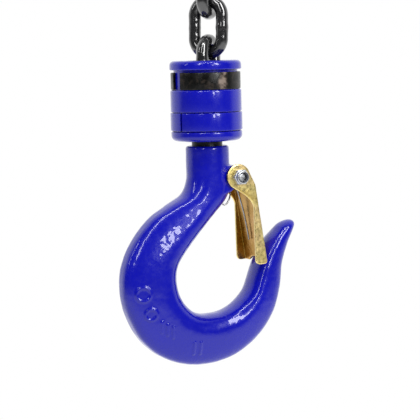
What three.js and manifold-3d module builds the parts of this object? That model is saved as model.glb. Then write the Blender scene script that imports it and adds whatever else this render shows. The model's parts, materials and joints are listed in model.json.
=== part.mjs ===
// Swivel hook of a one-tonne chain hoist, in millimetres, +Z up.
// The origin is the inner top crown of the uppermost chain link, which holds everything else up.
// The hook lies in the XZ plane with its mouth towards +X.
// The holder and the hook are drawn upright from the holder's top face, as z = 0, and hung at the end.
import * as THREE from "three";
import { mergeVertices } from "three/addons/utils/BufferGeometryUtils.js";
import Module from "manifold-3d";

const wasm = await Module();
wasm.setup();

// ---- driving dimensions ------------------------------------------------------------------

// load chain
const WIRE = 6;
const PITCH = 19.2;
const LINK_WIDTH = 20.4;
const PLAY = 0.2; // left between pieces that bear on each other
const CHAIN_TURN = THREE.MathUtils.degToRad(41); // plane of the top and end links, from +X

// holder, z down from its top face
const PIN_R = 3;
const PIN_Z = -9.3;
const PIN_LENGTH = 30.6;
const FLANGE_R = 17.5;
const MIDDLE_R = 17.3;
const TOP_FLANGE_Z = -4.4;
const UPPER_GROOVE = { floor: 15.6, bottom: -14 };
const LOWER_GROOVE = { floor: 16, top: -24.7, bottom: -34 };
const HOLDER_BOTTOM = -38.8;
const UPPER_RING = { inner: 15.8, outer: 17, top: -5.6, bottom: -13.85, gapAt: 190, gap: 16 };
const LOWER_RING = { inner: 16.2, outer: 17.5, top: -25, bottom: -33.7, gapAt: 201, gap: 4 };
const POCKET = { width: 10, length: 25, bottom: -19.6 };

// swivel bearing
const BORE_R = 7.7;
const BORE_TOP = -23;
const STEM_R = 7.5;
const STEM_TOP = -23.4;
const BALL_R = 2.5;
const RACE_R = 2.7;
const RACE_PITCH_R = 8;
const RACE_Z = -29.5;
const BALL_COUNT = 9;
const FILL_AT = THREE.MathUtils.degToRad(30);

// hook
const SHANK_R = 10.6;
const SHOULDER_Z = -41.3;
const SEAT = { x: -1, z: -124.4, side: 6 }; // flat at the bottom of the bowl

// latch and its pivot
const PIVOT = { x: 11.4, z: -56.6 };
const EAR_R = 6.1;
const LATCH_HALF = 11.4;
const LATCH_SWING = THREE.MathUtils.degToRad(0.8); // outward, from its drawn outline to the hook's arm
const SHEET = 1.5;
const LUG_HALF = 9.4;
const LUG_R = 5.4;
const SPRING_SLOT = { half: 2.8, floor: 7.8, top: -52.4, bottom: -67 };
const BOLT_R = 2;
const BOLT_HOLE_R = 2.2;
const NUT = { flats: 7, hex: 3.4, collarR: 3.15, height: 5 };
const INSERT = { inner: 2.15, outer: 2.7, recess: 2.85, from: 3.6, to: 4.7 };
const SPRING_WIRE = 0.8;
const SPRING_COIL_R = 2.8;
const SPRING_TURNS = 4.5;

// how the load hangs: its weight is off the swivel axis, so it leans, and the chain bears off centre
const LEAN = THREE.MathUtils.degToRad(1.5);
const CHAIN_ASIDE = 1.5; // along the pin, from the swivel axis

// heights in the row frame that follow from the chain
const MIDDLE_LINK_Z = -PITCH + PLAY;
const END_LINK_Z = 2 * MIDDLE_LINK_Z;
const BEARING_Z = END_LINK_Z - PITCH + PLAY + PIN_R;

// ---- helpers -----------------------------------------------------------------------------

// One closed mesh with shared corners and no collapsed triangles.
function weld(geometry) {
  const bare = geometry.clone();
  bare.deleteAttribute("normal");
  bare.deleteAttribute("uv");
  const merged = mergeVertices(bare, 1e-4);
  const index = Array.from(merged.index.array);
  const kept = [];
  for (let i = 0; i < index.length; i += 3) {
    const [a, b, c] = index.slice(i, i + 3);
    if (a !== b && b !== c && c !== a) {
      kept.push(a, b, c);
    }
  }
  merged.setIndex(kept);
  return merged;
}

function solid(geometry) {
  const merged = weld(geometry);
  return new wasm.Manifold(new wasm.Mesh({
    numProp: 3,
    vertProperties: new Float32Array(merged.attributes.position.array),
    triVerts: new Uint32Array(merged.index.array),
  }));
}

function geometryOf(manifold) {
  const mesh = manifold.getMesh();
  const geometry = new THREE.BufferGeometry();
  geometry.setAttribute("position", new THREE.BufferAttribute(new Float32Array(mesh.vertProperties), 3));
  geometry.setIndex(Array.from(mesh.triVerts));
  return geometry;
}

// Cuts every tool from the body.
function cut(body, ...tools) {
  return tools.reduce((left, tool) => left.subtract(solid(tool)), body);
}

// A profile of [radius, z] pairs turned about the Z axis.
function turned(profile, segments) {
  const points = profile.map(([radius, z]) => new THREE.Vector2(radius, z));
  return new THREE.LatheGeometry(points, segments).rotateX(Math.PI / 2);
}

// [radius, z] points on an arc about (radius, z), both angles in degrees.
function arcPoints(radius, z, size, from, to, steps) {
  const points = [];
  for (let i = 0; i <= steps; i += 1) {
    const angle = THREE.MathUtils.degToRad(from + ((to - from) * i) / steps);
    points.push([radius + size * Math.cos(angle), z + size * Math.sin(angle)]);
  }
  return points;
}

// A skin over rings of points, each ring with the same count: a closed loop, or capped at both ends.
function loft(rings, isLoop) {
  const count = rings[0].length;
  const positions = rings.flat().flatMap((point) => [point.x, point.y, point.z]);
  const index = [];
  const spans = isLoop ? rings.length : rings.length - 1;
  for (let i = 0; i < spans; i += 1) {
    const here = i * count;
    const next = ((i + 1) % rings.length) * count;
    for (let j = 0; j < count; j += 1) {
      const k = (j + 1) % count;
      index.push(here + j, here + k, next + k, here + j, next + k, next + j);
    }
  }
  if (!isLoop) {
    const last = (rings.length - 1) * count;
    for (let j = 1; j < count - 1; j += 1) {
      index.push(0, j + 1, j, last, last + j, last + j + 1);
    }
  }
  const geometry = new THREE.BufferGeometry();
  geometry.setAttribute("position", new THREE.Float32BufferAttribute(positions, 3));
  geometry.setIndex(index);
  return geometry;
}

// A flat shape in the XZ plane made into a plate between y = -half and y = half.
function plate(shape, half, curveSegments = 8) {
  const options = { depth: 2 * half, bevelEnabled: false, curveSegments };
  return new THREE.ExtrudeGeometry(shape, options).rotateX(Math.PI / 2).translate(0, half, 0);
}

function shapeOf(points) {
  return new THREE.Shape(points.map(([x, y]) => new THREE.Vector2(x, y)));
}

// A cylinder of the given length about the Y axis, through (x, z), centred on y.
function crossBar(radius, length, x, y, z, segments = 24) {
  return new THREE.CylinderGeometry(radius, radius, length, segments).translate(x, y, z);
}

const group = new THREE.Group();

function addMesh(parent, name, geometry, material) {
  const mesh = new THREE.Mesh(geometry, material);
  mesh.name = name;
  parent.add(mesh);
  return mesh;
}

// ---- materials ---------------------------------------------------------------------------

const enamel = new THREE.MeshStandardMaterial({ color: 0x1518b4, roughness: 0.22, metalness: 0.1 });
const blackSteel = new THREE.MeshStandardMaterial({ color: 0x141414, roughness: 0.3, metalness: 0.8 });
const springBand = new THREE.MeshStandardMaterial({ color: 0x241d18, roughness: 0.35, metalness: 0.7 });
const bareSteel = new THREE.MeshStandardMaterial({ color: 0x9a9da2, roughness: 0.3, metalness: 1 });
const yellowZinc = new THREE.MeshStandardMaterial({ color: 0xc8ac5e, roughness: 0.4, metalness: 0.9 });
const whiteZinc = new THREE.MeshStandardMaterial({ color: 0xc3c7cc, roughness: 0.3, metalness: 1 });
const nylon = new THREE.MeshStandardMaterial({ color: 0x202228, roughness: 0.6, metalness: 0 });

// ---- chain -------------------------------------------------------------------------------

// A round-ended link in the XZ plane; its inner top crown is at the origin.
function linkGeometry() {
  const bow = (LINK_WIDTH - WIRE) / 2;
  const leg = PITCH + WIRE - 2 * bow;
  const sides = 14;
  const bowSteps = 12;
  const topCentre = WIRE / 2 - bow;
  const rings = [];
  for (const [start, centre] of [[0, topCentre], [Math.PI, topCentre - leg]]) {
    for (let i = 0; i <= bowSteps; i += 1) {
      const around = start + (Math.PI * i) / bowSteps;
      const outward = new THREE.Vector3(Math.cos(around), 0, Math.sin(around));
      const ring = [];
      for (let j = 0; j < sides; j += 1) {
        const turn = (2 * Math.PI * j) / sides;
        const point = outward.clone().multiplyScalar(bow + (WIRE / 2) * Math.cos(turn));
        ring.push(point.add(new THREE.Vector3(0, (WIRE / 2) * Math.sin(turn), centre)));
      }
      rings.push(ring);
    }
  }
  return loft(rings, true);
}

function addChain() {
  const links = [
    ["top_link", 0, CHAIN_TURN],
    ["middle_link", MIDDLE_LINK_Z, CHAIN_TURN - Math.PI / 2],
    ["end_link", END_LINK_Z, CHAIN_TURN],
  ];
  for (const [name, z, turn] of links) {
    const link = addMesh(group, name, linkGeometry(), blackSteel);
    link.position.z = z;
    link.rotation.z = turn;
  }
}

// ---- holder ------------------------------------------------------------------------------

function holderProfile() {
  const topRound = 2.2;
  const bottomRound = 2.8;
  const raceHalf = Math.sqrt(RACE_R ** 2 - (RACE_PITCH_R - BORE_R) ** 2);
  const raceAngle = THREE.MathUtils.radToDeg(Math.atan2(raceHalf, BORE_R - RACE_PITCH_R));
  const edge = 0.4;
  return [
    [0, BORE_TOP],
    [BORE_R, BORE_TOP],
    ...arcPoints(RACE_PITCH_R, RACE_Z, RACE_R, raceAngle, -raceAngle, 8),
    [BORE_R, HOLDER_BOTTOM + 0.6],
    [BORE_R + 0.6, HOLDER_BOTTOM],
    ...arcPoints(MIDDLE_R - bottomRound, HOLDER_BOTTOM + bottomRound, bottomRound, -90, 0, 5),
    [MIDDLE_R, LOWER_GROOVE.bottom - edge],
    [MIDDLE_R - edge, LOWER_GROOVE.bottom],
    [LOWER_GROOVE.floor, LOWER_GROOVE.bottom],
    [LOWER_GROOVE.floor, LOWER_GROOVE.top],
    [MIDDLE_R - edge, LOWER_GROOVE.top],
    [MIDDLE_R, LOWER_GROOVE.top + edge],
    [MIDDLE_R, UPPER_GROOVE.bottom - edge],
    [MIDDLE_R - edge, UPPER_GROOVE.bottom],
    [UPPER_GROOVE.floor, UPPER_GROOVE.bottom],
    [UPPER_GROOVE.floor, TOP_FLANGE_Z],
    [FLANGE_R - edge, TOP_FLANGE_Z],
    [FLANGE_R, TOP_FLANGE_Z + edge],
    ...arcPoints(FLANGE_R - topRound, -topRound, topRound, 0, 90, 5),
    [0, 0],
  ];
}

// The pocket that the end link drops into, as a stadium-shaped hole from the top.
function pocketGeometry() {
  const half = POCKET.width / 2;
  const reach = POCKET.length / 2 - half;
  const outline = new THREE.Shape();
  outline.absarc(reach, 0, half, -Math.PI / 2, Math.PI / 2);
  outline.absarc(-reach, 0, half, Math.PI / 2, (3 * Math.PI) / 2);
  const options = { depth: 1 - POCKET.bottom, bevelEnabled: false, curveSegments: 10 };
  return new THREE.ExtrudeGeometry(outline, options).translate(0, 0, POCKET.bottom).rotateZ(CHAIN_TURN);
}

// A bar across the holder, from the start radius outwards at an angle about Z.
function radialBar(radius, start, length, angle, z, segments = 20) {
  const bar = new THREE.CylinderGeometry(radius, radius, length, segments).rotateZ(-Math.PI / 2);
  return bar.translate(start + length / 2, 0, 0).rotateZ(angle).translate(0, 0, z);
}

function holderGeometry() {
  const pinAngle = CHAIN_TURN + Math.PI / 2;
  const blank = solid(turned(holderProfile(), 48));
  const pinHole = radialBar(PIN_R + 0.15, -20, 40, pinAngle, PIN_Z, 24);
  const fillHole = radialBar(BALL_R + 0.2, RACE_PITCH_R, 12, FILL_AT, RACE_Z);
  return geometryOf(cut(blank, pocketGeometry(), pinHole, fillHole));
}

// A spring band: a ring with a gap, both given in degrees about Z.
function bandGeometry(ring) {
  const start = THREE.MathUtils.degToRad(ring.gapAt + ring.gap / 2);
  const end = THREE.MathUtils.degToRad(ring.gapAt + 360 - ring.gap / 2);
  const outline = new THREE.Shape();
  outline.absarc(0, 0, ring.outer, start, end, false);
  outline.absarc(0, 0, ring.inner, end, start, true);
  const options = { depth: ring.top - ring.bottom, bevelEnabled: false, curveSegments: 40 };
  return new THREE.ExtrudeGeometry(outline, options).translate(0, 0, ring.bottom);
}

function addHolder(holder) {
  addMesh(holder, "holder_body", holderGeometry(), enamel);
  addMesh(holder, "upper_retaining_ring", bandGeometry(UPPER_RING), springBand);
  addMesh(holder, "lower_retaining_ring", bandGeometry(LOWER_RING), enamel);

  const pin = new THREE.CylinderGeometry(PIN_R, PIN_R, PIN_LENGTH, 24);
  const chainPin = addMesh(holder, "chain_pin", pin, bareSteel);
  chainPin.position.z = PIN_Z;
  chainPin.rotation.z = CHAIN_TURN;

  const plugStart = RACE_PITCH_R + RACE_R + 0.2;
  const plugLength = LOWER_GROOVE.floor - 0.2 - plugStart;
  const plug = radialBar(BALL_R, plugStart, plugLength, FILL_AT, RACE_Z);
  addMesh(holder, "ball_fill_plug", plug, bareSteel);

  for (let i = 0; i < BALL_COUNT; i += 1) {
    const angle = (2 * Math.PI * i) / BALL_COUNT;
    const ball = addMesh(holder, `bearing_ball_${i + 1}`, new THREE.SphereGeometry(BALL_R, 12, 7), bareSteel);
    ball.position.set(RACE_PITCH_R * Math.cos(angle), RACE_PITCH_R * Math.sin(angle), RACE_Z);
  }
}

// ---- hook --------------------------------------------------------------------------------

// Stations along the forging, from the shank round the bowl to the point.
// Each gives the back of the section, its inside, its width in y, and how far it is egg-shaped.
const STATIONS = [
  { back: [-10.6, -43], inside: [10.6, -43], width: 21.2, egg: 0 },
  { back: [-10.6, -51], inside: [10.6, -51], width: 21.2, egg: 0 },
  { back: [-10.9, -58], inside: [11, -59.5], width: 21.2, egg: 0 },
  { back: [-13.8, -64.7], inside: [8.6, -67], width: 20.8, egg: 0.3 },
  { back: [-22.4, -69.9], inside: [1.4, -74.7], width: 20.2, egg: 0.7 },
  { back: [-31.8, -76], inside: [-6.8, -83.4], width: 20, egg: 1 },
  { back: [-40.6, -86], inside: [-15, -93], width: 20, egg: 1 },
  { back: [-46.4, -97], inside: [-19.1, -99.8], width: 20, egg: 1 },
  { back: [-48.1, -108.5], inside: [-19.5, -107.5], width: 20, egg: 1 },
  { back: [-45.6, -121.8], inside: [-17.4, -115], width: 20, egg: 1 },
  { back: [-37.9, -135.5], inside: [-12.6, -120.9], width: 20, egg: 1 },
  { back: [-25, -145.2], inside: [-7.2, -123.8], width: 19.8, egg: 1 },
  { back: [-8, -149.1], inside: [-1, -124.4], width: 19.4, egg: 1 },
  { back: [9.7, -146.1], inside: [5.4, -123.2], width: 18.9, egg: 1 },
  { back: [24, -137.5], inside: [12.3, -119.6], width: 18.4, egg: 0.9 },
  { back: [33, -125.8], inside: [18, -114.4], width: 17.9, egg: 0.7 },
  { back: [36.9, -113.3], inside: [21.5, -108.6], width: 17.5, egg: 0.5 },
  { back: [38.3, -102.2], inside: [24.4, -101], width: 17, egg: 0.3 },
  { back: [41.9, -92.6], inside: [29.3, -92], width: 15.8, egg: 0.1 },
  { back: [46.6, -85], inside: [37.2, -84.6], width: 12.6, egg: 0 },
];
const STEPS_BETWEEN = 3;
const RING_POINTS = 26;
const TIP_LENGTH = 5.2;

function curveThrough(pick) {
  const points = STATIONS.map((station) => new THREE.Vector3(...pick(station)));
  return new THREE.CatmullRomCurve3(points, false, "catmullrom", 0.5);
}

// One closed section between its inside and back points. An egg is widest towards the inside.
function sectionRing(inside, back, width, egg) {
  const middle = inside.clone().add(back).multiplyScalar(0.5);
  const half = back.clone().sub(inside).multiplyScalar(0.5);
  const fullness = 1 - 0.14 * egg;
  const taper = 0.13 * egg;
  const ring = [];
  for (let j = 0; j < RING_POINTS; j += 1) {
    const turn = (2 * Math.PI * (j + 0.5)) / RING_POINTS;
    const across = Math.sign(Math.sin(turn)) * Math.abs(Math.sin(turn)) ** fullness;
    const point = middle.clone().addScaledVector(half, Math.cos(turn));
    point.y = (width / 2) * across * (1 - taper * Math.cos(turn));
    ring.push(point);
  }
  return ring;
}

// Rings that close the point with a round nose.
function tipRings(inside, back, width, along) {
  const rings = [];
  for (const degrees of [25, 45, 62, 76, 86]) {
    const angle = THREE.MathUtils.degToRad(degrees);
    const shrink = Math.cos(angle);
    const middle = inside.clone().add(back).multiplyScalar(0.5);
    const half = back.clone().sub(inside).multiplyScalar(0.5 * shrink);
    middle.addScaledVector(along, TIP_LENGTH * Math.sin(angle));
    rings.push(sectionRing(middle.clone().sub(half), middle.clone().add(half), width * shrink, 0));
  }
  return rings;
}

function forgingGeometry() {
  const backs = curveThrough(({ back }) => [back[0], 0, back[1]]);
  const insides = curveThrough(({ inside }) => [inside[0], 0, inside[1]]);
  const sizes = curveThrough(({ width, egg }) => [width, egg, 0]);
  const spans = (STATIONS.length - 1) * STEPS_BETWEEN;
  const rings = [];
  for (const [size, z] of [[SHANK_R - 1.2, SHOULDER_Z], [SHANK_R - 0.35, SHOULDER_Z - 0.35], [SHANK_R, -42.5]]) {
    rings.push(sectionRing(new THREE.Vector3(size, 0, z), new THREE.Vector3(-size, 0, z), 2 * size, 0));
  }
  for (let i = 0; i <= spans; i += 1) {
    const t = i / spans;
    const size = sizes.getPoint(t);
    rings.push(sectionRing(insides.getPoint(t), backs.getPoint(t), size.x, THREE.MathUtils.clamp(size.y, 0, 1)));
  }
  const along = insides.getTangent(1).add(backs.getTangent(1)).normalize();
  rings.push(...tipRings(insides.getPoint(1), backs.getPoint(1), STATIONS.at(-1).width, along));
  return loft(rings, false);
}

// The stem above the shank, with the inner half of the ball race.
function stemGeometry() {
  const raceHalf = Math.sqrt(RACE_R ** 2 - (RACE_PITCH_R - STEM_R) ** 2);
  const raceAngle = THREE.MathUtils.radToDeg(Math.atan2(raceHalf, STEM_R - RACE_PITCH_R));
  return turned([
    [0, SHOULDER_Z - 4],
    [STEM_R, SHOULDER_Z - 4],
    ...arcPoints(RACE_PITCH_R, RACE_Z, RACE_R, 360 - raceAngle, raceAngle, 8),
    [STEM_R, STEM_TOP - 1],
    [STEM_R - 1, STEM_TOP],
    [0, STEM_TOP],
  ], 36);
}

// The latch lug on the shank's mouth side.
function lugSolid() {
  const outline = new THREE.Shape();
  outline.moveTo(2, -50.2);
  outline.lineTo(PIVOT.x - 0.5, PIVOT.z + LUG_R);
  outline.absarc(PIVOT.x, PIVOT.z, LUG_R, Math.PI / 2, -Math.PI / 2, true);
  outline.lineTo(8, -64);
  outline.lineTo(2, -66);
  return solid(plate(outline, LUG_HALF, 12));
}

// The slot that parts the lug into two cheeks, and runs a little into the shank.
function springSlot() {
  const { half, floor, top, bottom } = SPRING_SLOT;
  return new THREE.BoxGeometry(20, 2 * half, top - bottom).translate(floor + 10, 0, (top + bottom) / 2);
}

function hookGeometry() {
  const seat = new THREE.BoxGeometry(SEAT.side, SEAT.side, 6).translate(SEAT.x, 0, SEAT.z + 3 - 0.35);
  const body = solid(forgingGeometry()).add(solid(stemGeometry())).add(lugSolid());
  const hole = crossBar(BOLT_HOLE_R, 30, PIVOT.x, 0, PIVOT.z);
  return geometryOf(cut(body, springSlot(), hole, seat));
}

// ---- latch -------------------------------------------------------------------------------

const WEB_TOP = new THREE.Vector2(20.3, -61.2);
const WEB_END = new THREE.Vector2(25.5, -100.4);

// Side view of the pressed latch: ear, sloping lower edge, flange and web, all in one outline.
function latchOutline() {
  const outline = new THREE.Shape();
  outline.absarc(PIVOT.x, PIVOT.z, EAR_R, THREE.MathUtils.degToRad(30), THREE.MathUtils.degToRad(236), false);
  outline.lineTo(12.2, -64.2);
  outline.quadraticCurveTo(18.6, -68.2, 19.2, -72.4);
  outline.lineTo(19.3, -98.4);
  outline.quadraticCurveTo(19.4, -100.5, 21.4, -100.7);
  outline.lineTo(WEB_END.x - 1.2, WEB_END.y - 0.2);
  outline.quadraticCurveTo(WEB_END.x, WEB_END.y, WEB_END.x - 0.1, WEB_END.y + 1.4);
  outline.lineTo(WEB_TOP.x, WEB_TOP.y);
  return outline;
}

function latchPlateGeometry() {
  const inward = new THREE.Vector2(WEB_END.y - WEB_TOP.y, WEB_TOP.x - WEB_END.x).normalize().multiplyScalar(SHEET);
  const innerTop = WEB_TOP.clone().add(inward);
  const innerEnd = WEB_END.clone().add(inward);
  const hollow = shapeOf([
    [innerTop.x, innerTop.y],
    [WEB_TOP.x + 3, WEB_TOP.y],
    [WEB_TOP.x + 3, -45],
    [0, -45],
    [0, -104],
    [innerEnd.x + 0.5, -104],
  ]);
  const seatArch = new THREE.CylinderGeometry(9, 9, 8, 24).rotateZ(Math.PI / 2).translate(24, 0, WEB_END.y - 6.6);
  const blank = solid(plate(latchOutline(), LATCH_HALF));
  const boltHole = crossBar(BOLT_HOLE_R, 30, PIVOT.x, 0, PIVOT.z);
  const latch = geometryOf(cut(blank, plate(hollow, LATCH_HALF - SHEET), boltHole, seatArch));
  return latch.translate(-PIVOT.x, 0, -PIVOT.z).rotateY(-LATCH_SWING).translate(PIVOT.x, 0, PIVOT.z);
}

function hexPrism(flats, height) {
  return new THREE.CylinderGeometry(flats / Math.sqrt(3), flats / Math.sqrt(3), height, 6);
}

// The bolt lies along Y with its head behind the latch, on the +Y side.
function boltGeometry() {
  const headHeight = 2.8;
  const headFrom = LATCH_HALF + 0.2;
  const tip = -(LATCH_HALF + 0.2 + NUT.height - 0.6);
  const shaft = crossBar(BOLT_R, headFrom + 0.5 - tip, PIVOT.x, (headFrom + 0.5 + tip) / 2, PIVOT.z);
  const head = hexPrism(NUT.flats, headHeight).translate(PIVOT.x, headFrom + headHeight / 2, PIVOT.z);
  return geometryOf(solid(shaft).add(solid(head)));
}

// Lock nut on the -Y side: a hexagon with a round collar that grips the insert.
function nutGeometry() {
  const face = -(LATCH_HALF + 0.2);
  const hex = hexPrism(NUT.flats, NUT.hex).translate(PIVOT.x, face - NUT.hex / 2, PIVOT.z);
  const collarLength = NUT.height - 1;
  const collar = crossBar(NUT.collarR, collarLength, PIVOT.x, face - 1 - collarLength / 2, PIVOT.z, 32);
  const bore = crossBar(BOLT_HOLE_R, 20, PIVOT.x, face, PIVOT.z);
  const recessLength = NUT.height - INSERT.from + 1.1;
  const recess = crossBar(INSERT.recess, recessLength, PIVOT.x, face - INSERT.from + 0.1 - recessLength / 2, PIVOT.z);
  return geometryOf(cut(solid(hex).add(solid(collar)), bore, recess));
}

function insertGeometry() {
  const height = INSERT.to - INSERT.from;
  const middle = -(LATCH_HALF + 0.2) - (INSERT.from + INSERT.to) / 2;
  const ring = solid(crossBar(INSERT.outer, height, PIVOT.x, middle, PIVOT.z));
  return geometryOf(cut(ring, crossBar(INSERT.inner, 5, PIVOT.x, middle, PIVOT.z)));
}

// Torsion spring: one end curls onto the hook, a coil round the bolt, and a leg down the latch's web.
function springGeometry() {
  const coilHalf = 2.1;
  const points = [
    new THREE.Vector3(6.7, -coilHalf, -70.6),
    new THREE.Vector3(7.9, -coilHalf, -70.9),
    new THREE.Vector3(9.9, -coilHalf, -68.9),
    new THREE.Vector3(10.9, -coilHalf, -65.4),
    new THREE.Vector3(10.5, -coilHalf, -61.8),
  ];
  const coilSteps = 54;
  for (let i = 0; i <= coilSteps; i += 1) {
    const turn = Math.PI * (1.2 - (2 * SPRING_TURNS * i) / coilSteps);
    points.push(new THREE.Vector3(
      PIVOT.x + SPRING_COIL_R * Math.cos(turn),
      coilHalf * ((2 * i) / coilSteps - 1),
      PIVOT.z + SPRING_COIL_R * Math.sin(turn),
    ));
  }
  points.push(new THREE.Vector3(16.4, 1.7, -63.4), new THREE.Vector3(19.6, 1, -75.6), new THREE.Vector3(22.1, 0.5, -89.4));
  const section = new THREE.Shape();
  section.absarc(0, 0, SPRING_WIRE / 2, 0, 2 * Math.PI);
  const path = new THREE.CatmullRomCurve3(points, false, "centripetal");
  return new THREE.ExtrudeGeometry(section, { steps: 118, extrudePath: path, curveSegments: 4 });
}

function addHook(hook) {
  addMesh(hook, "hook", hookGeometry(), enamel);
  addMesh(hook, "latch_plate", latchPlateGeometry(), yellowZinc);
  addMesh(hook, "latch_bolt", boltGeometry(), whiteZinc);
  addMesh(hook, "latch_nut", nutGeometry(), whiteZinc);
  addMesh(hook, "latch_nut_insert", insertGeometry(), nylon);
  addMesh(hook, "latch_spring", springGeometry(), bareSteel);
}

// The holder and the hook, leaning about the place where the end link bears on the pin.
function addLoad() {
  const load = new THREE.Group();
  load.rotation.y = -LEAN;
  const aside = CHAIN_TURN - Math.PI / 2;
  const bearing = new THREE.Vector3(CHAIN_ASIDE * Math.cos(aside), CHAIN_ASIDE * Math.sin(aside), PIN_Z);
  load.position.set(0, 0, BEARING_Z).sub(bearing.applyEuler(load.rotation));
  addHolder(load);
  addHook(load);
  group.add(load);
}

addChain();
addLoad();

export default group;
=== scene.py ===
"""Looks of the swivel hook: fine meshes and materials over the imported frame.

Shapes are worked out in millimetres in two local systems and then placed by the frame:
links in their own plane, and the holder and hook from the holder's top face (LOAD).
"""
import json
import math

import bmesh
import bpy
import numpy as np
from mathutils import Matrix, Vector, noise


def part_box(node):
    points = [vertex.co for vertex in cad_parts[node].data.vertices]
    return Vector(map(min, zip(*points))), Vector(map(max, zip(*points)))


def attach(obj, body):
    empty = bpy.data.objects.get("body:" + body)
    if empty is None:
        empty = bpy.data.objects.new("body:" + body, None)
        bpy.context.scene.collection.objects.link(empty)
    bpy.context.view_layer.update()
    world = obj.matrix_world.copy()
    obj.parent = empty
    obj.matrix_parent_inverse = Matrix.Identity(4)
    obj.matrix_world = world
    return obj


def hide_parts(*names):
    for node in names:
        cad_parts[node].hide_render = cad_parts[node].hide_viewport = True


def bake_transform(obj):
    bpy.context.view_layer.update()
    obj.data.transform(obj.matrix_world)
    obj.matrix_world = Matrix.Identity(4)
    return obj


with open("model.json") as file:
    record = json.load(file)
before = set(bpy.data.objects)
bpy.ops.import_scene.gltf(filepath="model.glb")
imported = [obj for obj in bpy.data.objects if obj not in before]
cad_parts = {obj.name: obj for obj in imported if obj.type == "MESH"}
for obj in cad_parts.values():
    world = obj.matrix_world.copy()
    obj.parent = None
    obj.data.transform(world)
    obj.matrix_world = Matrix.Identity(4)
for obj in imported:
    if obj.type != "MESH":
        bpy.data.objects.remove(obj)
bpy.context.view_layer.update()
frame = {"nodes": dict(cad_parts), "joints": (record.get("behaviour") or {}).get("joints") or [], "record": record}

MM = 0.001
record = frame["record"]
mounts = {mount["name"]: mount for mount in record["mounts"]}
joints = {joint["name"]: joint for joint in frame["joints"]}

# ---- sizes in millimetres -----------------------------------------------------------------
# These are the CAD part's own sizes, apart from the upper ring's gap and the stations along the
# forging, some of which are up to 1.3 mm off the CAD part's. Angles are in degrees.

WIRE = 6.0
PITCH = 19.2
LINK_WIDTH = 20.4

FLANGE_R = 17.5
MIDDLE_R = 17.3
HOLDER_BOTTOM = -38.8
POCKET = {"width": 10.0, "length": 25.0, "bottom": -19.6}
PIN_BORE_R = 3.15
PIN_Z = -9.3
UPPER_GROOVE = {"floor": 15.6, "top": -4.4, "bottom": -14.0}
LOWER_GROOVE = {"floor": 16.0, "top": -24.7, "bottom": -34.0}
UPPER_RING = {"inner": 15.8, "outer": 17.0, "top": -5.6, "bottom": -13.85, "gap_at": 188.5, "gap": 20}
LOWER_RING = {"inner": 16.2, "outer": 17.5, "top": -25.0, "bottom": -33.7, "gap_at": 201, "gap": 4}
BORE_R = 7.7
BORE_TOP = -23.0
STEM_R = 7.5
STEM_TOP = -23.4
BALL_R = 2.5
RACE_R = 2.7
RACE_PITCH_R = 8.0
RACE_Z = -29.5
BALL_COUNT = 9
FILL_AT = 30

SHANK_R = 10.6
SHOULDER_Z = -41.3
PIVOT = (11.4, -56.6)
LUG_HALF = 9.4
LUG_R = 5.4
SPRING_SLOT = {"half": 2.8, "floor": 7.8, "top": -52.4, "bottom": -67.0}
EAR_R = 6.1
LATCH_HALF = 11.4
LATCH_SWING = 0.8  # outward, from its drawn outline to the hook's arm
SHEET = 1.5
BOLT_R = 2.0
BOLT_HOLE_R = 2.2
HEX_FLATS = 7.0
THROUGH = 15.0  # half length of a cutter that goes right through hook and latch

# Stations along the forging: back point, inside point, width in y, and how egg-shaped it is.
STATIONS = [
    ((-10.6, -43), (10.6, -43), 21.2, 0),
    ((-10.6, -51), (10.6, -51), 21.2, 0),
    ((-10.9, -58), (11, -59.5), 21.2, 0),
    ((-13.8, -64.7), (8.6, -67), 20.8, 0.3),
    ((-22.4, -69.9), (1.4, -74.7), 20.2, 0.7),
    ((-31.8, -76), (-6.8, -83.4), 20, 1),
    ((-40.6, -86), (-15, -93), 20, 1),
    ((-46, -97.2), (-19.1, -99.8), 20, 1),
    ((-47.4, -108.5), (-19.5, -107.5), 20, 1),
    ((-45, -121.5), (-17.2, -115.1), 20, 1),
    ((-37.5, -135.1), (-12.2, -121.1), 20, 1),
    ((-24.8, -144.9), (-6.7, -123.9), 19.8, 1),
    ((-8, -149.1), (-1, -124.4), 19.4, 1),
    ((10.1, -146.4), (6, -123.6), 18.9, 1),
    ((24.1, -137.6), (13.1, -120.2), 18.4, 0.9),
    ((33, -125.8), (18.7, -114.9), 17.9, 0.9),
    ((36.9, -113.3), (21.5, -108.6), 17.5, 0.8),
    ((38.3, -102.2), (24.4, -101), 17, 0.6),
    ((41.5, -92.6), (29.2, -92), 15.8, 0.45),
    ((45.6, -84.8), (36, -85), 12.8, 0.2),
]
TIP_LENGTH = 5.2

# Plain raised marks on the side of the bowl: rings (x, z, outer radius), and bars (x, z, half length).
RINGS = [(-39.2, -110.6, 3.9), (-35.6, -120.6, 3.3)]
BARS = [(-30.4, -127.2, 2.6), (-27.6, -128.8, 2.6), (-24.8, -130.2, 2.6), (-13.6, -139.2, 2.8),
        (-10.2, -139.4, 2.8)]
MARK_WIDTH = 1.1
MARK_HEIGHT = 0.5


# ---- placing ------------------------------------------------------------------------------

def load_matrix():
    """Row-frame place of the holder's top face: its centre on the swivel axis, z along the axis."""
    swivel = joints["hook_swivel"]
    axis = Vector(swivel["axis"]).normalized()
    on_axis = Vector(swivel["pos_m"])
    on_face = Vector(mounts["holder_stop_face"]["pos_m"])
    centre = on_axis + axis * (on_face - on_axis).dot(axis)
    turn = Vector((0, 0, 1)).rotation_difference(axis).to_matrix().to_4x4()
    return Matrix.Translation(centre) @ turn


LOAD = load_matrix()


def link_matrix(node, across):
    """Place of a link's own plane: its inner top crown, with x along the link's width."""
    low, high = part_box(node)
    centre = (Vector(low) + Vector(high)) / 2
    crown = Vector((centre.x, centre.y, high[2] - WIRE * MM))
    return Matrix.Translation(crown) @ Matrix.Rotation(across, 4, "Z")


# ---- mesh helpers -------------------------------------------------------------------------

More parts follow.
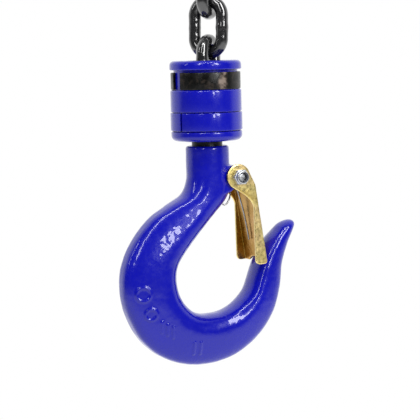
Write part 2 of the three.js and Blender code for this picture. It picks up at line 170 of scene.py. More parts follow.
def mesh_object(name, verts, faces, place):
    """A mesh from millimetre points, put in the row frame, with its normals outward."""
    mesh = bpy.data.meshes.new(name)
    mesh.from_pydata([tuple(v) for v in verts], [], [tuple(f) for f in faces])
    obj = bpy.data.objects.new(name, mesh)
    bpy.context.scene.collection.objects.link(obj)
    mesh.transform(place @ Matrix.Scale(MM, 4))
    work = bmesh.new()
    work.from_mesh(mesh)
    bmesh.ops.recalc_face_normals(work, faces=work.faces)
    work.to_mesh(mesh)
    work.free()
    return obj


def smooth(obj, angle):
    """Smooth shading with creases kept where faces meet at more than the angle."""
    mesh = obj.data
    mesh.polygons.foreach_set("use_smooth", [True] * len(mesh.polygons))
    mesh.set_sharp_from_angle(angle=math.radians(angle))
    return obj


def loft_faces(count, rings, is_loop):
    """Quads between rings of the same count, and a polygon at each end if it isn't a loop."""
    faces = []
    for i in range(rings if is_loop else rings - 1):
        here, there = i * count, ((i + 1) % rings) * count
        for j in range(count):
            k = (j + 1) % count
            faces.append((here + j, here + k, there + k, there + j))
    if not is_loop:
        faces.append(tuple(reversed(range(count))))
        faces.append(tuple(range((rings - 1) * count, rings * count)))
    return faces


def loft(name, rings, place, is_loop=False):
    """A solid through rings of points, capped at both ends if it isn't a loop."""
    verts = [point for ring in rings for point in ring]
    return mesh_object(name, verts, loft_faces(len(rings[0]), len(rings), is_loop), place)


def turned(name, profile, place, segments):
    """A closed solid turned about z from (radius, z) points; radius 0 ends it on the axis."""
    on_axis = 1e-6
    verts, rows = [], []
    for radius, z in profile:
        if radius < on_axis:
            rows.append([len(verts)] * segments)
            verts.append((0, 0, z))
            continue
        rows.append(range(len(verts), len(verts) + segments))
        for j in range(segments):
            angle = 2 * math.pi * j / segments
            verts.append((radius * math.cos(angle), radius * math.sin(angle), z))
    faces = []
    closed = profile[0][0] > on_axis
    pairs = list(zip(rows, rows[1:])) + ([(rows[-1], rows[0])] if closed else [])
    for low, high in pairs:
        for j in range(segments):
            k = (j + 1) % segments
            corners = []
            for corner in (low[j], low[k], high[k], high[j]):
                if corner not in corners:
                    corners.append(corner)
            if len(corners) > 2:
                faces.append(corners)
    return mesh_object(name, verts, faces, place)


def arc(x, z, size, start, end, steps):
    """Points on an arc about (x, z), angles in degrees."""
    angles = np.radians(np.linspace(start, end, steps + 1))
    return [(x + size * math.cos(a), z + size * math.sin(a)) for a in angles]


def plate(name, outline, half, place, centre=0.0):
    """A flat outline of (x, z) points made into a plate between y = centre -/+ half."""
    front = [(x, centre - half, z) for x, z in outline]
    back = [(x, centre + half, z) for x, z in outline]
    return loft(name, [front, back], place)


def cross_bar(name, radius, start, end, place):
    """A cylinder along y, from start to end, through the latch's pivot."""
    circle = arc(*PIVOT, radius, 0, 360, 64)[:-1]
    return plate(name, circle, (end - start) / 2, place, (end + start) / 2)


def remove(obj):
    mesh = obj.data
    bpy.data.objects.remove(obj)
    bpy.data.meshes.remove(mesh)


def final_mesh(obj):
    """A new mesh of the object as it is with its modifiers, or of a curve with its thickness."""
    bpy.context.view_layer.update()
    graph = bpy.context.evaluated_depsgraph_get()
    return bpy.data.meshes.new_from_object(obj.evaluated_get(graph))


def apply_modifiers(obj):
    """Makes the object's modifiers part of its mesh."""
    mesh = final_mesh(obj)
    old = obj.data
    obj.modifiers.clear()
    obj.data = mesh
    bpy.data.meshes.remove(old)
    mesh.name = obj.name
    return obj


def combine(obj, tool, operation):
    """Joins the tool to the object or cuts it out, and removes the tool."""
    modifier = obj.modifiers.new("boolean", "BOOLEAN")
    modifier.object, modifier.operation, modifier.solver = tool, operation, "EXACT"
    apply_modifiers(obj)
    remove(tool)
    return obj


def rounded(obj, width, segments=3):
    """Bevels the edges sharper than 30 degrees. The width is in millimetres."""
    modifier = obj.modifiers.new("bevel", "BEVEL")
    modifier.width, modifier.segments = width * MM, segments
    modifier.limit_method, modifier.angle_limit = "ANGLE", math.radians(30)
    modifier.use_clamp_overlap = True
    return apply_modifiers(obj)


def cast(obj, voxel, passes):
    """Remeshes a joined solid at the voxel size and rounds its joins, as forging does."""
    modifier = obj.modifiers.new("remesh", "REMESH")
    modifier.mode, modifier.voxel_size = "VOXEL", voxel * MM
    apply_modifiers(obj)
    modifier = obj.modifiers.new("smooth", "SMOOTH")
    modifier.factor, modifier.iterations = 0.5, passes
    return apply_modifiers(obj)


def roughen(obj, height, scale, seed):
    """Moves the surface in and out by a soft noise: height and scale in millimetres."""
    mesh = obj.data
    count = len(mesh.vertices)
    points = np.empty(count * 3)
    normals = np.empty(count * 3)
    mesh.vertices.foreach_get("co", points)
    mesh.vertices.foreach_get("normal", normals)
    points, normals = points.reshape(-1, 3), normals.reshape(-1, 3)
    shift = Vector((seed * 7.3, seed * 3.1, seed * 5.7))
    falloff, spacing, octaves = 1.0, 2.1, 3
    heights = np.array([noise.fractal(Vector(p) / (scale * MM) + shift, falloff, spacing, octaves)
                        for p in points])
    points += normals * (heights * height * MM)[:, None]
    mesh.vertices.foreach_set("co", points.ravel())
    mesh.update()
    return obj


# ---- materials ----------------------------------------------------------------------------

def map_range(tree, value, source, target, easing="LINEAR"):
    """The value taken from the source range to the target range, each as (start, end)."""
    node = tree.nodes.new("ShaderNodeMapRange")
    node.interpolation_type = easing
    for name, level in zip(("From Min", "From Max", "To Min", "To Max"), (*source, *target)):
        node.inputs[name].default_value = level
    tree.links.new(value, node.inputs["Value"])
    return node.outputs["Result"]


class Nodes:
    """Short ways to add the nodes that the materials share."""

    def __init__(self, name):
        self.material = bpy.data.materials.new(name)
        self.material.use_nodes = True
        self.tree = self.material.node_tree
        self.shader = self.tree.nodes["Principled BSDF"]
        self.coordinates = self.tree.nodes.new("ShaderNodeTexCoord").outputs["Object"]

    def link(self, output, target):
        self.tree.links.new(output, target)

    def noise(self, scale, detail=3.0, roughness=0.55, distortion=0.0):
        """Noise over the object; scale is in features per metre."""
        node = self.tree.nodes.new("ShaderNodeTexNoise")
        node.inputs["Scale"].default_value = scale
        node.inputs["Detail"].default_value = detail
        node.inputs["Roughness"].default_value = roughness
        node.inputs["Distortion"].default_value = distortion
        self.link(self.coordinates, node.inputs["Vector"])
        return node.outputs["Fac"]

    def cells(self, scale):
        """Distance from the middles of scattered cells; scale is in cells per metre."""
        node = self.tree.nodes.new("ShaderNodeTexVoronoi")
        node.inputs["Scale"].default_value = scale
        self.link(self.coordinates, node.inputs["Vector"])
        return node.outputs["Distance"]

    def ramp(self, value, stops):
        """Colours at places from 0 to 1 along the value."""
        node = self.tree.nodes.new("ShaderNodeValToRGB")
        elements = node.color_ramp.elements
        while len(elements) < len(stops):
            elements.new(0.5)
        for element, (position, colour) in zip(elements, stops):
            element.position = position
            element.color = (*colour, 1)
        self.link(value, node.inputs["Fac"])
        return node.outputs["Color"]

    def spread(self, value, low, high):
        """The value's middle range stretched from low to high."""
        return map_range(self.tree, value, (0.3, 0.7), (low, high))

    def axis(self, name):
        """The object's own X, Y or Z."""
        node = self.tree.nodes.new("ShaderNodeSeparateXYZ")
        self.link(self.coordinates, node.inputs[0])
        return node.outputs[name]

    def mix(self, factor, first, second):
        """A colour from first to second. The mix node's colour sockets have no names of their own."""
        node = self.tree.nodes.new("ShaderNodeMix")
        node.data_type = "RGBA"
        self.link(factor, node.inputs["Factor"])
        self.link(first, node.inputs[6])
        self.link(second, node.inputs[7])
        return node.outputs[2]

    def math(self, operation, first, second=0.0):
        """An operation on a value and a plain number."""
        node = self.tree.nodes.new("ShaderNodeMath")
        node.operation = operation
        node.inputs[1].default_value = second
        self.link(first, node.inputs[0])
        return node.outputs["Value"]

    def bump(self, *layers):
        """Bumps from (height, strength, distance in millimetres), laid one on another."""
        normal = None
        for height, strength, distance in layers:
            node = self.tree.nodes.new("ShaderNodeBump")
            node.inputs["Strength"].default_value = strength
            node.inputs["Distance"].default_value = distance * MM
            self.link(height, node.inputs["Height"])
            if normal:
                self.link(normal, node.inputs["Normal"])
            normal = node.outputs["Normal"]
        self.link(normal, self.shader.inputs["Normal"])

    def set(self, **values):
        """Sets the shader's own sockets, named with _ for a space."""
        for name, value in values.items():
            self.shader.inputs[name.replace("_", " ")].default_value = value


def enamel(name="enamel", pimples=0.35, peel=0.12):
    """Glossy blue enamel on forged steel: orange peel, fine pimples and slight tone changes."""
    n = Nodes(name)
    tone = n.noise(28, 4)
    n.link(n.ramp(tone, [(0.3, (0.0013, 0.0024, 0.242)), (0.7, (0.0018, 0.003, 0.29))]),
           n.shader.inputs["Base Color"])
    n.link(n.spread(n.noise(420, 3), 0.2, 0.32), n.shader.inputs["Roughness"])
    n.set(IOR=1.28, Coat_Weight=0.55, Coat_Roughness=0.04, Coat_IOR=1.45)
    n.bump((n.noise(190, 2), peel, 0.5), (n.noise(900, 2, 0.6), pimples * 0.5, 0.12),
           (n.cells(520), pimples * 0.3, 0.1))
    return n.material


def black_chain():
    """Glossy black oxide on drawn and bent wire, with fine scale and faint scratches."""
    n = Nodes("black_chain")
    patches = n.noise(160, 5, 0.65)
    n.link(n.ramp(patches, [(0.35, (0.003, 0.003, 0.0035)), (0.68, (0.011, 0.011, 0.012))]),
           n.shader.inputs["Base Color"])
    n.link(n.spread(n.noise(700, 4), 0.12, 0.3), n.shader.inputs["Roughness"])
    n.set(IOR=1.45, Coat_Weight=1.0, Coat_Roughness=0.05, Coat_IOR=1.6)
    n.bump((n.noise(330, 3), 0.5, 0.3), (n.noise(1500, 3), 0.2, 0.05))
    return n.material


def band_steel():
    """Oiled, blackened spring strip with brown tints here and there, and a brown and grey painted reflection in a
    patch on the nut's side.
    """
    n = Nodes("band_steel")
    from_middle = n.math("ABSOLUTE", n.axis("X"))
    # painted reflection: lighter brown and grey where x is near zero, where a softbox's streak falls on the band
    painted_reflection = map_range(n.tree, from_middle, (4.2 * MM, 0.5 * MM), (0, 0.25), "SMOOTHSTEP")
    tint = n.tree.nodes.new("ShaderNodeMath")
    n.link(n.noise(150, 5, 0.65, 0.5), tint.inputs[0])
    n.link(painted_reflection, tint.inputs[1])
    n.link(n.ramp(tint.outputs["Value"], [(0.54, (0.0012, 0.0013, 0.0012)),
                                          (0.66, (0.02, 0.015, 0.012)),
                                          (0.82, (0.16, 0.125, 0.105))]),
           n.shader.inputs["Base Color"])
    n.link(n.spread(n.noise(260, 5), 0.18, 0.42), n.shader.inputs["Roughness"])
    n.set(IOR=1.33)
    n.bump((n.noise(600, 4), 0.35, 0.08))
    return n.material


def yellow_zinc():
    """Yellow chromated zinc: a fine-grained gold, with painted shade in brown on the inside of the folded latch.
    """
    n = Nodes("yellow_zinc")
    tint = n.noise(70, 3, 0.55, 0.6)
    gold = n.ramp(tint, [(0.32, (0.55, 0.39, 0.1)), (0.46, (0.72, 0.58, 0.21)),
                         (0.57, (0.7, 0.51, 0.24)), (0.68, (0.68, 0.59, 0.2))])
    # painted shade: a darker brown for the faces inside the fold, which lie in the latch's own shade
    brown = n.ramp(tint, [(0.36, (0.31, 0.17, 0.022)), (0.5, (0.44, 0.25, 0.057)),
                          (0.66, (0.5, 0.29, 0.095))])
    from_plane = n.math("ABSOLUTE", n.math("SUBTRACT", n.axis("Y"), LOAD.translation.y))
    outside = n.math("GREATER_THAN", from_plane, (LATCH_HALF - SHEET + 0.2) * MM)
    grain = n.ramp(n.noise(1100, 3), [(0.35, (0.5, 0.4, 0.13)), (0.62, (0.85, 0.76, 0.4))])
    face = n.mix(outside, brown, n.mix(n.spread(n.noise(380, 4), 0.05, 0.4), gold, grain))
    n.link(face, n.shader.inputs["Base Color"])
    n.link(n.spread(n.noise(600, 4), 0.24, 0.4), n.shader.inputs["Roughness"])
    n.set(Metallic=1.0)
    n.bump((n.noise(1500, 2), 0.2, 0.05), (n.noise(210, 3), 0.2, 0.25))
    return n.material


def zinc(name, colour, rough):
    """Bright plated or bare steel with fine grain."""
    n = Nodes(name)
    light = tuple(min(1, c * 1.15) for c in colour)
    dark = tuple(c * 0.72 for c in colour)
    n.link(n.ramp(n.noise(700, 4), [(0.3, dark), (0.7, light)]), n.shader.inputs["Base Color"])
    n.link(n.spread(n.noise(1200, 3), rough * 0.7, rough * 1.4), n.shader.inputs["Roughness"])
    n.set(Metallic=1.0)
    n.bump((n.noise(2200, 2), 0.25, 0.04))
    return n.material


def dark_nylon():
    """The lock nut's insert: dull, nearly black nylon."""
    n = Nodes("dark_nylon")
    n.link(n.ramp(n.noise(900, 3), [(0.3, (0.012, 0.014, 0.022)), (0.7, (0.03, 0.034, 0.05))]),
           n.shader.inputs["Base Color"])
    n.link(n.spread(n.noise(1500, 2), 0.35, 0.55), n.shader.inputs["Roughness"])
    n.bump((n.noise(1800, 2), 0.3, 0.05))
    return n.material


ENAMEL = enamel()
MACHINED_ENAMEL = enamel("enamel_machined", 0.12, 0.04)
CHAIN = black_chain()
BAND = band_steel()
GOLD = yellow_zinc()
BRIGHT = zinc("white_zinc", (0.5, 0.52, 0.54), 0.36)
STEEL = zinc("bare_steel", (0.45, 0.45, 0.46), 0.3)
# Near-black steel for the stem, the neck between the holder and the hook's shoulder
DARK_STEEL = zinc("near_black_steel", (0.03, 0.03, 0.032), 0.35)
SPRING_STEEL = zinc("spring_steel", (0.4, 0.4, 0.4), 0.3)
NYLON = dark_nylon()


def finish_piece(obj, body, material, slot, *nodes, angle=35):
    """Shades a piece, gives it its material, puts it under its body and hides the CAD nodes it stands for."""
    smooth(obj, angle)
    obj.data.materials.clear()
    obj.data.materials.append(material)
    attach(obj, body)
    if nodes:
        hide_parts(*nodes)
    return obj


# ---- chain --------------------------------------------------------------------------------

def link_piece(node, across, seed):
    """A bent and welded link: round-ended, with a low weld bead half-way down one leg."""
    bow = (LINK_WIDTH - WIRE) / 2
    leg = PITCH + WIRE - 2 * bow
    top = WIRE / 2 - bow
    weld = {"z": top - leg / 2, "reach": 1.5, "swell": 0.05}
    path = []
    for start, centre in ((0, top), (math.pi, top - leg)):
        for angle in np.linspace(start, start + math.pi, 41):
            path.append((bow * math.cos(angle), centre + bow * math.sin(angle), angle))
        side = 1 if start == 0 else -1
        for z in np.linspace(0, 1, 24)[1:-1]:
            path.append((-side * bow, centre - side * leg * z, start + math.pi))
    rings = []
    for x, z, angle in path:
        at_weld = math.exp(-((z - weld["z"]) / weld["reach"]) ** 2) if x > 0 else 0
        size = WIRE / 2 * (1 + weld["swell"] * at_weld)
        ring = []
        for turn in np.linspace(0, 2 * math.pi, 41)[:-1]:
            out = size * math.cos(turn)
            ring.append((x + out * math.cos(angle), size * math.sin(turn), z + out * math.sin(angle)))
        rings.append(ring)
    obj = loft(node + "_fine", rings, link_matrix(node, across), is_loop=True)
    roughen(obj, 0.1, 2.4, seed)
    finish_piece(obj, node, CHAIN, "chain", node, angle=60)


# ---- holder -------------------------------------------------------------------------------

def holder_profile():
    """The holder's outline from the top of the bore, down it and up the outside to the top face."""
    race_half = math.sqrt(RACE_R ** 2 - (RACE_PITCH_R - BORE_R) ** 2)
    race_angle = math.degrees(math.atan2(race_half, BORE_R - RACE_PITCH_R))
    edge, worn, top_round, bottom_round, lead_in = 0.5, 0.9, 2.2, 2.8, 0.6
    upper, lower = UPPER_GROOVE, LOWER_GROOVE
    profile = [(0, BORE_TOP), (BORE_R, BORE_TOP)]
    profile += arc(RACE_PITCH_R, RACE_Z, RACE_R, race_angle, -race_angle, 24)
    profile += [(BORE_R, HOLDER_BOTTOM + lead_in), (BORE_R + lead_in, HOLDER_BOTTOM)]
    profile += arc(MIDDLE_R - bottom_round, HOLDER_BOTTOM + bottom_round, bottom_round, -90, 0, 14)
    profile += arc(MIDDLE_R - worn, lower["bottom"] - worn, worn, 0, 90, 6)
    profile += [(lower["floor"], lower["bottom"]), (lower["floor"], lower["top"])]
    profile += arc(MIDDLE_R - edge, lower["top"] + edge, edge, -90, 0, 4)
    profile += arc(MIDDLE_R - worn, upper["bottom"] - worn, worn, 0, 90, 6)
    profile += [(upper["floor"], upper["bottom"]), (upper["floor"], upper["top"])]
    profile += arc(FLANGE_R - edge, upper["top"] + edge, edge, -90, 0, 4)
    profile += arc(FLANGE_R - top_round, -top_round, top_round, 0, 90, 14)
    return profile + [(0, 0)]


def pocket_tool(chain_turn):
    """The stadium-shaped pocket for the end link, cut down from the top face."""
    half = POCKET["width"] / 2
    reach = POCKET["length"] / 2 - half
    outline = arc(reach, 0, half, -90, 90, 24) + arc(-reach, 0, half, 90, 270, 24)
    place = LOAD @ Matrix.Rotation(chain_turn, 4, "Z")
    return loft("pocket", [[(x, y, z) for x, y in outline] for z in (POCKET["bottom"], 1.0)],
                place)


def radial_tool(radius, start, end, angle, z):
    """A cylinder across the swivel axis at height z, from start to end out along the angle."""
    circle = arc(0, 0, radius, 0, 360, 48)[:-1]
    rings = [[(x, y, h) for x, y in circle] for h in (start, end)]
    place = Matrix.Translation((0, 0, z * MM)) @ Matrix.Rotation(angle, 4, "Z")
    return loft("radial_tool", rings, LOAD @ place @ Matrix.Rotation(math.pi / 2, 4, "Y"))


def band_piece(name, ring, material, slot):
    """A rolled spring strip with rounded edges and a gap."""
    half = (ring["outer"] - ring["inner"]) / 2
    middle = (ring["outer"] + ring["inner"]) / 2
    edge = 0.45
    section = []
    for x, z, start in ((half, ring["bottom"], -90), (half, ring["top"], 0),
                        (-half, ring["top"], 90), (-half, ring["bottom"], 180)):
        inward = edge if z == ring["bottom"] else -edge
        section += arc(middle + x - math.copysign(edge, x), z + inward, edge, start, start + 90, 4)
    begin = math.radians(ring["gap_at"] + ring["gap"] / 2)
    end = math.radians(ring["gap_at"] + 360 - ring["gap"] / 2)
    rings = []
    for angle in np.linspace(begin, end, 150):
        rings.append([(r * math.cos(angle), r * math.sin(angle), z) for r, z in section])
    obj = loft(name + "_fine", rings, LOAD)
    finish_piece(obj, "holder", material, slot, name)


def holder_pieces(chain_turn):
    """The holder with its pocket and bores, its two rings, and the swivel's balls."""
    body = turned("holder_body_fine", holder_profile(), LOAD, 160)
    combine(body, pocket_tool(chain_turn), "DIFFERENCE")
    outside = 20
    pin_bore = radial_tool(PIN_BORE_R, -outside, outside, chain_turn + math.pi / 2, PIN_Z)
    combine(body, pin_bore, "DIFFERENCE")
    fill_bore = radial_tool(BALL_R + 0.2, RACE_PITCH_R, outside, math.radians(FILL_AT), RACE_Z)
    combine(body, fill_bore, "DIFFERENCE")
    finish_piece(body, "holder", MACHINED_ENAMEL, "enamel", "holder_body", angle=28)
    band_piece("upper_retaining_ring", UPPER_RING, BAND, "spring_band")
    band_piece("lower_retaining_ring", LOWER_RING, MACHINED_ENAMEL, "enamel")
    for node in ("chain_pin", "ball_fill_plug"):
        set_material(node, STEEL)
    for i in range(BALL_COUNT):
        angle = 2 * math.pi * i / BALL_COUNT
        centre = Matrix.Translation((RACE_PITCH_R * MM * math.cos(angle),
                                     RACE_PITCH_R * MM * math.sin(angle), RACE_Z * MM))
        profile = [(0, -BALL_R)] + arc(0, 0, BALL_R, -84, 84, 28) + [(0, BALL_R)]
        ball = turned(f"ball_{i + 1}_fine", profile, LOAD @ centre, 48)
        finish_piece(ball, "balls", STEEL, "bare_steel", f"bearing_ball_{i + 1}", angle=60)


def set_material(node, material):
    """Gives a CAD node that no finer piece replaces its material."""
    obj = frame["nodes"][node]
    obj.data.materials.clear()
    obj.data.materials.append(material)


# ---- hook ---------------------------------------------------------------------------------

def through(values, count):
    """Points on a uniform Catmull-Rom curve through the rows of values."""
    points = np.array(values, float)
    points = np.vstack([2 * points[0] - points[1], points, 2 * points[-1] - points[-2]])
    result = []
    for t in np.linspace(0, len(values) - 1, count):
        i = min(int(t), len(values) - 2)
        f = t - i
        a, b, c, d = points[i:i + 4]
        result.append(0.5 * (2 * b + (c - a) * f + (2 * a - 5 * b + 4 * c - d) * f ** 2
                             + (3 * b - a - 3 * c + d) * f ** 3))
    return np.array(result)


def section(inside, back, width, egg):
    """One closed section between its inside and back points, widest towards the inside."""
    count = 96
    inside_square, back_square, taper = 0.15, 0.75, 0.31
    turns = 2 * np.pi * (np.arange(count) + 0.5) / count
    middle, half = (inside + back) / 2, (back - inside) / 2
    along, across = np.cos(turns), np.sin(turns)
    square = np.where(along < 0, 1 + inside_square * egg, 1 + back_square * egg)
    along = np.sign(along) * np.abs(along) ** (1 / square)
    across = np.sign(across) * np.abs(across) ** (1 / square)
    y = width / 2 * across * (1 - taper * egg * along)
    xz = middle[None, :] + along[:, None] * half[None, :]
    return [(x, yy, z) for (x, z), yy in zip(xz, y)]


def forging():
    """The forged body as one fine loft, from the shoulder to the point."""
    count, shoulder = 230, 1.2
    backs = through([station[0] for station in STATIONS], count)
    insides = through([station[1] for station in STATIONS], count)
    sizes = through([station[2:] for station in STATIONS], count)
    rings = []
    for angle in np.linspace(0, 90, 7):
        size = SHANK_R - shoulder * (1 - math.sin(math.radians(angle)))
        z = SHOULDER_Z - shoulder * (1 - math.cos(math.radians(angle)))
        rings.append(section(np.array((size, z)), np.array((-size, z)), 2 * size, 0))
    for inside, back, (width, egg) in zip(insides, backs, sizes):
        rings.append(section(inside, back, width, min(max(egg, 0), 1)))
    along = (insides[-1] + backs[-1]) - (insides[-2] + backs[-2])
    along /= np.linalg.norm(along)
    for angle in np.radians(np.linspace(0, 88, 16)[1:]):
        shrink = math.cos(angle)
        middle = (insides[-1] + backs[-1]) / 2 + along * TIP_LENGTH * math.sin(angle)
        half = (backs[-1] - insides[-1]) / 2 * shrink
        rings.append(section(middle - half, middle + half, STATIONS[-1][2] * shrink, 0))
    return loft("hook_fine", rings, LOAD)


def off_mark(x, z):
    """Distance from the middle of the nearest mark's line."""
    rings = [abs(math.hypot(x - cx, z - cz) - size + MARK_WIDTH / 2) for cx, cz, size in RINGS]
    bars = [math.hypot(x - cx, max(abs(z - cz) - half, 0)) for cx, cz, half in BARS]
    return min(rings + bars)


def raise_marks(obj):
    """Raises plain rings and bars on the nut's side of the bowl, in place of foundry marks."""
    mesh = obj.data
    inverse = LOAD.inverted()
    outward = LOAD.to_3x3() @ Vector((0, -1, 0))
    nut_side, bowl_top = -4, -100
    for vertex in mesh.vertices:
        local = inverse @ vertex.co / MM
        if local.y > nut_side or local.z > bowl_top:
            continue
        off = off_mark(local.x, local.z) / MARK_WIDTH
        if off < 1:
            vertex.co += outward * (MARK_HEIGHT * MM * (1 - off * off) ** 2)
    mesh.update()


def hook_pieces():
    """The forging with its lug, spring slot, bolt hole and marks, and the stem in the holder."""
    body = forging()
    lug = [(4, -51.6), (PIVOT[0] - 0.5, PIVOT[1] + LUG_R)]
    lug += arc(*PIVOT, LUG_R, 90, -90, 24) + [(8, -64), (2, -66)]
    combine(body, plate("lug", lug, LUG_HALF, LOAD), "UNION")
    cast(body, 0.4, 14)
    floor, top, bottom, past_lug = SPRING_SLOT["floor"], SPRING_SLOT["top"], SPRING_SLOT["bottom"], 30
    slot = [(floor, top), (past_lug, top), (past_lug, bottom), (floor, bottom)]
    combine(body, plate("slot", slot, SPRING_SLOT["half"], LOAD), "DIFFERENCE")
    combine(body, cross_bar("hole", BOLT_HOLE_R, -THROUGH, THROUGH, LOAD), "DIFFERENCE")
    roughen(body, 0.08, 5.5, 3)
    raise_marks(body)
    finish_piece(body, "hook", ENAMEL, "enamel", "hook", angle=50)

    race_half = math.sqrt(RACE_R ** 2 - (RACE_PITCH_R - STEM_R) ** 2)
    race_angle = math.degrees(math.atan2(race_half, STEM_R - RACE_PITCH_R))
    root = SHOULDER_Z - 0.5
    profile = [(0, root), (STEM_R, root)]
    profile += arc(RACE_PITCH_R, RACE_Z, RACE_R, 360 - race_angle, race_angle, 20)
    profile += [(STEM_R, STEM_TOP - 1), (STEM_R - 1, STEM_TOP), (0, STEM_TOP)]
    stem = turned("hook_stem_fine", profile, LOAD, 96)
    finish_piece(stem, "hook", DARK_STEEL, "bare_steel", angle=30)


# ---- latch --------------------------------------------------------------------------------

WEB_TOP = np.array((20.3, -61.2))
WEB_END = np.array((25.5, -100.4))


def bezier(start, control, end, steps=10):
    """Points along a curve with one control point, without its start."""
    start, control, end = (np.array(p, float) for p in (start, control, end))
    points = []
    for t in np.linspace(0, 1, steps + 1)[1:]:
        points.append(tuple((1 - t) ** 2 * start + 2 * t * (1 - t) * control + t * t * end))
    return points


def latch_outline():
    """Side view: ear, sloping lower edge, flange and web in one outline."""
    points = arc(*PIVOT, EAR_R, 30, 236, 48)
    points += [(12.2, -64.2)] + bezier((12.2, -64.2), (18.6, -68.2), (19.2, -72.4), 16)
    points += [(19.3, -98.4)] + bezier((19.3, -98.4), (19.4, -100.5), (21.4, -100.7))
    points += [(24.3, -100.6)] + bezier((24.3, -100.6), (25.5, -100.4), (25.4, -99))
    return points + [tuple(WEB_TOP)]


def latch_piece():
    """Folded latch: its outline at full width, hollowed to two flanges and a web, with an arch."""
    web = WEB_END - WEB_TOP
    inward = np.array((web[1], -web[0])) / np.linalg.norm(web) * SHEET
    inner_top, inner_end = WEB_TOP + inward, WEB_END + inward
    hollow = [tuple(inner_top), (WEB_TOP[0] + 3, WEB_TOP[1]), (WEB_TOP[0] + 3, -45),
              (0, -45), (0, -104), (inner_end[0] + 0.5, -104)]
    pivot = Matrix.Translation((PIVOT[0] * MM, 0, PIVOT[1] * MM))
    place = LOAD @ pivot @ Matrix.Rotation(-math.radians(LATCH_SWING), 4, "Y") @ pivot.inverted()
    body = plate("latch_plate_fine", latch_outline(), LATCH_HALF, place)
    combine(body, plate("hollow", hollow, LATCH_HALF - SHEET, place), "DIFFERENCE")
    combine(body, cross_bar("latch_hole", BOLT_HOLE_R, -THROUGH, THROUGH, place), "DIFFERENCE")
    arch_r, arch_rise = 9, 2.4
    circle = arc(0, 0, arch_r, 0, 360, 64)[:-1]
    arch_z = WEB_END[1] - (arch_r - arch_rise)
    arch = [[(x, y, arch_z + z) for y, z in circle] for x in (20, 28)]
    combine(body, loft("seat_arch", arch, place), "DIFFERENCE")
    cast(body, 0.22, 6)
    roughen(body, 0.05, 3.5, 8)
    finish_piece(body, "latch", GOLD, "yellow_zinc", "latch_plate", angle=60)


def hexagon():
    """The outline of the bolt's head and the nut, about the pivot."""
    return arc(*PIVOT, HEX_FLATS / math.sqrt(3), 0, 360, 6)[:-1]


def fastener_pieces():
    """The latch's bolt, and its lock nut with a collar and a dark insert, at y below -face."""
    face = LATCH_HALF + 0.2
    head_half, nut_half = 1.4, 1.7
    bolt = cross_bar("latch_bolt_fine", BOLT_R, -(face + 3.2), face + 1, LOAD)
    rounded(bolt, 0.4)
    head = plate("head", hexagon(), head_half, LOAD, face + head_half)
    rounded(head, 0.35)
    combine(bolt, head, "UNION")
    finish_piece(bolt, "hook", BRIGHT, "white_zinc", "latch_bolt", angle=30)

    nut = plate("latch_nut_fine", hexagon(), nut_half, LOAD, -(face + nut_half))
    rounded(nut, 0.3)
    collar = cross_bar("collar", 3.15, -(face + 5), -(face + 1), LOAD)
    rounded(collar, 0.45, 4)
    combine(nut, collar, "UNION")
    combine(nut, cross_bar("nut_bore", BOLT_HOLE_R, -(face + 9), -(face - 3), LOAD), "DIFFERENCE")
    combine(nut, cross_bar("nut_recess", 2.7, -(face + 9), -(face + 3.5), LOAD), "DIFFERENCE")
    finish_piece(nut, "hook", BRIGHT, "white_zinc", "latch_nut", angle=30)

    insert = cross_bar("latch_nut_insert_fine", 2.6, -(face + 4.7), -(face + 3.6), LOAD)
    combine(insert, cross_bar("insert_bore", 2.1, -(face + 9), -(face - 3), LOAD), "DIFFERENCE")
    finish_piece(insert, "hook", NYLON, "nylon", "latch_nut_insert", angle=30)


def spring_piece():
    """Torsion spring: an end curled onto the hook, the coil, and the leg down the latch.

    It cuts into the hook and the latch near the end of the swing.
    """
    wire, coil_r, turns, half, steps = 0.8, 2.8, 4.5, 2.1, 108
    controls = [(6.7, -half, -70.6), (7.9, -half, -70.9), (9.9, -half, -68.9),
                (10.9, -half, -65.4), (10.5, -half, -61.8)]
    for i in range(steps + 1):
        turn = math.pi * (1.2 - 2 * turns * i / steps)
        controls.append((PIVOT[0] + coil_r * math.cos(turn), half * (2 * i / steps - 1),
                         PIVOT[1] + coil_r * math.sin(turn)))
    controls += [(16.4, 1.7, -63.4), (19.6, 1, -75.6), (22.1, 0.5, -89.4)]
    curve = bpy.data.curves.new("spring_path", "CURVE")
    curve.dimensions = "3D"
    curve.bevel_depth = wire / 2 * MM
    curve.bevel_resolution = 5
    curve.use_fill_caps = True
    spline = curve.splines.new("BEZIER")
    spline.bezier_points.add(len(controls) - 1)
    for point, control in zip(spline.bezier_points, controls):
        point.co = LOAD @ (Vector(control) * MM)
        point.handle_left_type = point.handle_right_type = "AUTO"
    curve.resolution_u = 6
    path = bpy.data.objects.new("spring_path", curve)
    bpy.context.scene.collection.objects.link(path)
    mesh = final_mesh(path)
    bpy.data.objects.remove(path)
    obj = bpy.data.objects.new("latch_spring_fine", mesh)
    bpy.context.scene.collection.objects.link(obj)
    mesh.materials.clear()
    mesh.materials.append(SPRING_STEEL)
    smooth(obj, 60)
    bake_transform(obj)
    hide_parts("latch_spring")


# ---- camera and light, in metres ----------------------------------------------------------

def polar(azimuth, elevation, distance):
    """A point that far from the origin; azimuth 0 is towards -Y."""
    a, e = math.radians(azimuth), math.radians(elevation)
    return Vector((math.sin(a) * math.cos(e), -math.cos(a) * math.cos(e), math.sin(e))) * distance


VIEW_AZIMUTH = -25.0
LIGHT_DISTANCE = 1.4


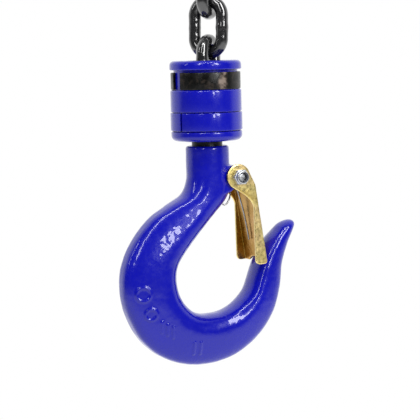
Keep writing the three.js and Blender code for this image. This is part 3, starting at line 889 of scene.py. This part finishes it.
def add_camera():
    """The camera, at the front left and a little above, with the chain cut by its top edge."""
    elevation, distance, sensor = 5.5, 0.75, 36
    across = 0.2058  # width of the view at the target
    aside, height = 0.0008, -0.1177  # of the target, from the load line and the top crown
    camera = bpy.data.objects.new("camera", bpy.data.cameras.new("camera"))
    bpy.context.scene.collection.objects.link(camera)
    a = math.radians(VIEW_AZIMUTH)
    target = Vector((aside * math.cos(a), aside * math.sin(a), height))
    camera.location = target + polar(VIEW_AZIMUTH, elevation, distance)
    aim = (target - camera.location).to_track_quat("-Z", "Y")
    camera.rotation_mode = "QUATERNION"
    camera.rotation_quaternion = aim
    camera.data.sensor_width = sensor
    camera.data.lens = sensor * distance / across
    camera.data.clip_start = 0.05
    bpy.context.scene.camera = camera


def add_softbox(name, azimuth, elevation, size, power):
    """A rectangular lamp, (width, height) in size, turned to the middle of the hook."""
    data = bpy.data.lights.new(name, "AREA")
    data.shape = "RECTANGLE"
    data.size, data.size_y = size
    data.energy = power
    lamp = bpy.data.objects.new(name, data)
    bpy.context.scene.collection.objects.link(lamp)
    target = Vector((0, 0, -0.1))
    lamp.location = target + polar(azimuth, elevation, LIGHT_DISTANCE)
    lamp.rotation_mode = "QUATERNION"
    lamp.rotation_quaternion = (target - lamp.location).to_track_quat("-Z", "Y")


def dim_room(tree, dim, backdrop, below):
    """Brightness by direction: a dim room, a white backdrop facing the front, white card below."""
    direction = tree.nodes.new("ShaderNodeTexCoord").outputs["Generated"]

    def lobe(towards, start, end, level):
        dot = tree.nodes.new("ShaderNodeVectorMath")
        dot.operation = "DOT_PRODUCT"
        tree.links.new(direction, dot.inputs[0])
        dot.inputs[1].default_value = towards
        return map_range(tree, dot.outputs["Value"], (start, end), (dim, level), "SMOOTHSTEP")

    either = tree.nodes.new("ShaderNodeMath")
    either.operation = "MAXIMUM"
    tree.links.new(lobe(-polar(VIEW_AZIMUTH, 0, 1), -0.2, 0.25, backdrop), either.inputs[0])
    tree.links.new(lobe((0, 0, -1), 0.1, 0.45, below), either.inputs[1])
    return either.outputs["Value"]


def add_stage():
    """White all round for the camera; a dim room and five softboxes light the object."""
    world = bpy.data.worlds.new("studio")
    world.use_nodes = True
    tree = world.node_tree
    seen = tree.nodes["Background"]
    seen.inputs["Color"].default_value = (1, 1, 1, 1)
    room = tree.nodes.new("ShaderNodeBackground")
    room.inputs["Color"].default_value = (1, 1, 1, 1)
    tree.links.new(dim_room(tree, 0.12, 1.1, 1.5), room.inputs["Strength"])
    choose = tree.nodes.new("ShaderNodeMixShader")
    tree.links.new(tree.nodes.new("ShaderNodeLightPath").outputs["Is Camera Ray"], choose.inputs[0])
    tree.links.new(room.outputs[0], choose.inputs[1])
    tree.links.new(seen.outputs[0], choose.inputs[2])
    tree.links.new(choose.outputs[0], tree.nodes["World Output"].inputs["Surface"])
    bpy.context.scene.world = world
    bpy.context.scene.view_settings.view_transform = "Standard"
    add_softbox("left_softbox", VIEW_AZIMUTH - 20, 34, (0.12, 1.1), 6.5)
    add_softbox("top_softbox", VIEW_AZIMUTH, 64, (0.8, 0.1), 7)
    add_softbox("side_softbox", VIEW_AZIMUTH - 68, 25, (0.07, 0.6), 2.2)
    add_softbox("low_softbox", VIEW_AZIMUTH + 25, 9, (0.12, 0.2), 1.8)
    add_softbox("right_softbox", VIEW_AZIMUTH + 39, 31, (0.26, 1.25), 21)


# ---- build --------------------------------------------------------------------------------

add_camera()
CHAIN_TURN = math.atan2(joints["middle_link_swing"]["axis"][1], joints["middle_link_swing"]["axis"][0])
link_piece("top_link", CHAIN_TURN, 1)
link_piece("middle_link", CHAIN_TURN - math.pi / 2, 2)
link_piece("end_link", CHAIN_TURN, 3)
holder_pieces(CHAIN_TURN)
hook_pieces()
latch_piece()
fastener_pieces()
spring_piece()
add_stage()
